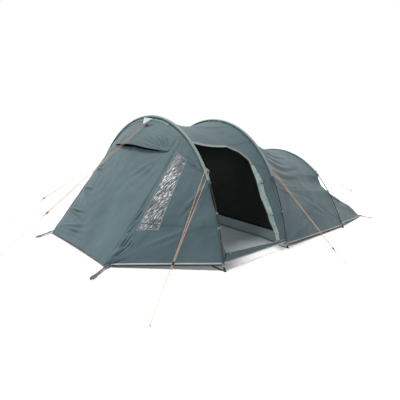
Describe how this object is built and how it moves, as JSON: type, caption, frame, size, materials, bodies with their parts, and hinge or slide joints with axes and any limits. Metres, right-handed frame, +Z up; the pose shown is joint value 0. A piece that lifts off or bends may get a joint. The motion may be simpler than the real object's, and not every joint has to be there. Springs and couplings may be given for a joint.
{
  "type": "tunnel tent",
  "caption": "Tunnel tent pitched on bent hoop poles, with a vented sloping front, an open side door, a hanging inner tent and taut guylines.",
  "frame": {"origin": "on the ground, under the middle of the tent without its guylines", "axes": "+Y along the tunnel from the sloping vented front to the bedroom, +Z up, the open door faces +X"},
  "size_m": [3.779, 5.8871, 1.4017],
  "materials": {
    "fabric": "coated polyester, soft sheen",
    "sleeve": "paler polyester",
    "trim": "woven edge binding",
    "lining": "coated inner side of the fabric",
    "inner": "dark breathable polyester",
    "floor": "coated groundsheet",
    "webbing": "woven tape",
    "cord": "braided cord with reflective threads",
    "window": "clear soft film",
    "pole": "glass-fibre rod",
    "plastic": "moulded",
    "zip_metal": "moulded zip slider",
    "steel": "galvanised wire"
  },
  "bodies": {
    "tent": {"front_pole": "pole", "front_sleeve": "sleeve", "front_right_foot": "plastic", "front_left_foot": "plastic", "front_cross_tape": "webbing", "middle_pole": "pole", "middle_sleeve": "sleeve", "middle_right_foot": "plastic", "middle_left_foot": "plastic", "middle_cross_tape": "webbing", "rear_pole": "pole", "rear_sleeve": "sleeve", "rear_right_foot": "plastic", "rear_left_foot": "plastic", "rear_cross_tape": "webbing", "porch_fly": "fabric", "door_jamb_fly": "fabric", "door_sill": "fabric", "bedroom_right_fly": "fabric", "bedroom_left_fly": "fabric", "rear_fly": "fabric", "front_fly_centre": "fabric", "front_fly_left": "fabric", "front_fly_right": "fabric", "window_pane": "window", "vent_hood": "fabric", "door_binding": "trim", "rolled_door": "lining", "inner_front_wall": "inner", "inner_canopy": "inner", "inner_floor": "floor", "porch_groundsheet": "floor", "front_right_corner_loop": "webbing", "rear_right_corner_loop": "webbing", "front_left_corner_loop": "webbing", "rear_left_corner_loop": "webbing", "front_right_guyline": "cord", "front_right_peg": "steel", "front_left_guyline": "cord", "front_left_peg": "steel", "front_centre_guyline": "cord", "front_centre_peg": "steel", "middle_right_guyline": "cord", "middle_right_peg": "steel", "middle_left_guyline": "cord", "middle_left_peg": "steel", "rear_right_guyline": "cord", "rear_right_peg": "steel", "rear_left_guyline": "cord", "rear_left_peg": "steel"},
    "front_right_slider": {"front_right_slider": "plastic"},
    "front_left_slider": {"front_left_slider": "plastic"},
    "front_centre_slider": {"front_centre_slider": "plastic"},
    "middle_right_slider": {"middle_right_slider": "plastic"},
    "middle_left_slider": {"middle_left_slider": "plastic"},
    "rear_right_slider": {"rear_right_slider": "plastic"},
    "rear_left_slider": {"rear_left_slider": "plastic"},
    "upper_door_toggle": {"upper_door_toggle": "plastic"},
    "lower_door_toggle": {"lower_door_toggle": "plastic"},
    "sill_zip_slider": {"sill_zip_slider": "zip_metal"}
  },
  "joints": [
    {"name": "front_right_slider_slide", "type": "slide", "parent": "tent", "child": "front_right_slider", "axis": [-0.4141, 0.7167, 0.5611], "range_m": [0, 0.15]},
    {"name": "front_left_slider_slide", "type": "slide", "parent": "tent", "child": "front_left_slider", "axis": [0.179, 0.8083, 0.5609], "range_m": [0, 0.15]},
    {"name": "front_centre_slider_slide", "type": "slide", "parent": "tent", "child": "front_centre_slider", "axis": [-0.0077, 0.7708, 0.637], "range_m": [0, 0.15]},
    {"name": "middle_right_slider_slide", "type": "slide", "parent": "tent", "child": "middle_right_slider", "axis": [-0.7421, -0.0597, 0.6677], "range_m": [0, 0.15]},
    {"name": "middle_left_slider_slide", "type": "slide", "parent": "tent", "child": "middle_left_slider", "axis": [0.7421, -0.0597, 0.6677], "range_m": [0, 0.15]},
    {"name": "rear_right_slider_slide", "type": "slide", "parent": "tent", "child": "rear_right_slider", "axis": [-0.4433, -0.8145, 0.3743], "range_m": [0, 0.15]},
    {"name": "rear_left_slider_slide", "type": "slide", "parent": "tent", "child": "rear_left_slider", "axis": [0.4433, -0.8145, 0.3743], "range_m": [0, 0.15]},
    {"name": "upper_door_toggle_turn", "type": "hinge", "parent": "tent", "child": "upper_door_toggle", "pos_m": [0.97114, -0.55525, 0.71717], "axis": [0.9093, -0.1067, 0.4022], "range_deg": [-90, 90]},
    {"name": "lower_door_toggle_turn", "type": "hinge", "parent": "tent", "child": "lower_door_toggle", "pos_m": [1.13984, -0.52484, 0.382], "axis": [0.9538, -0.0475, 0.2966], "range_deg": [-90, 90]},
    {"name": "sill_zip_slide", "type": "slide", "parent": "tent", "child": "sill_zip_slider", "axis": [0.0258, 0.9985, -0.0475], "range_m": [0, 0.65]}
  ]
}
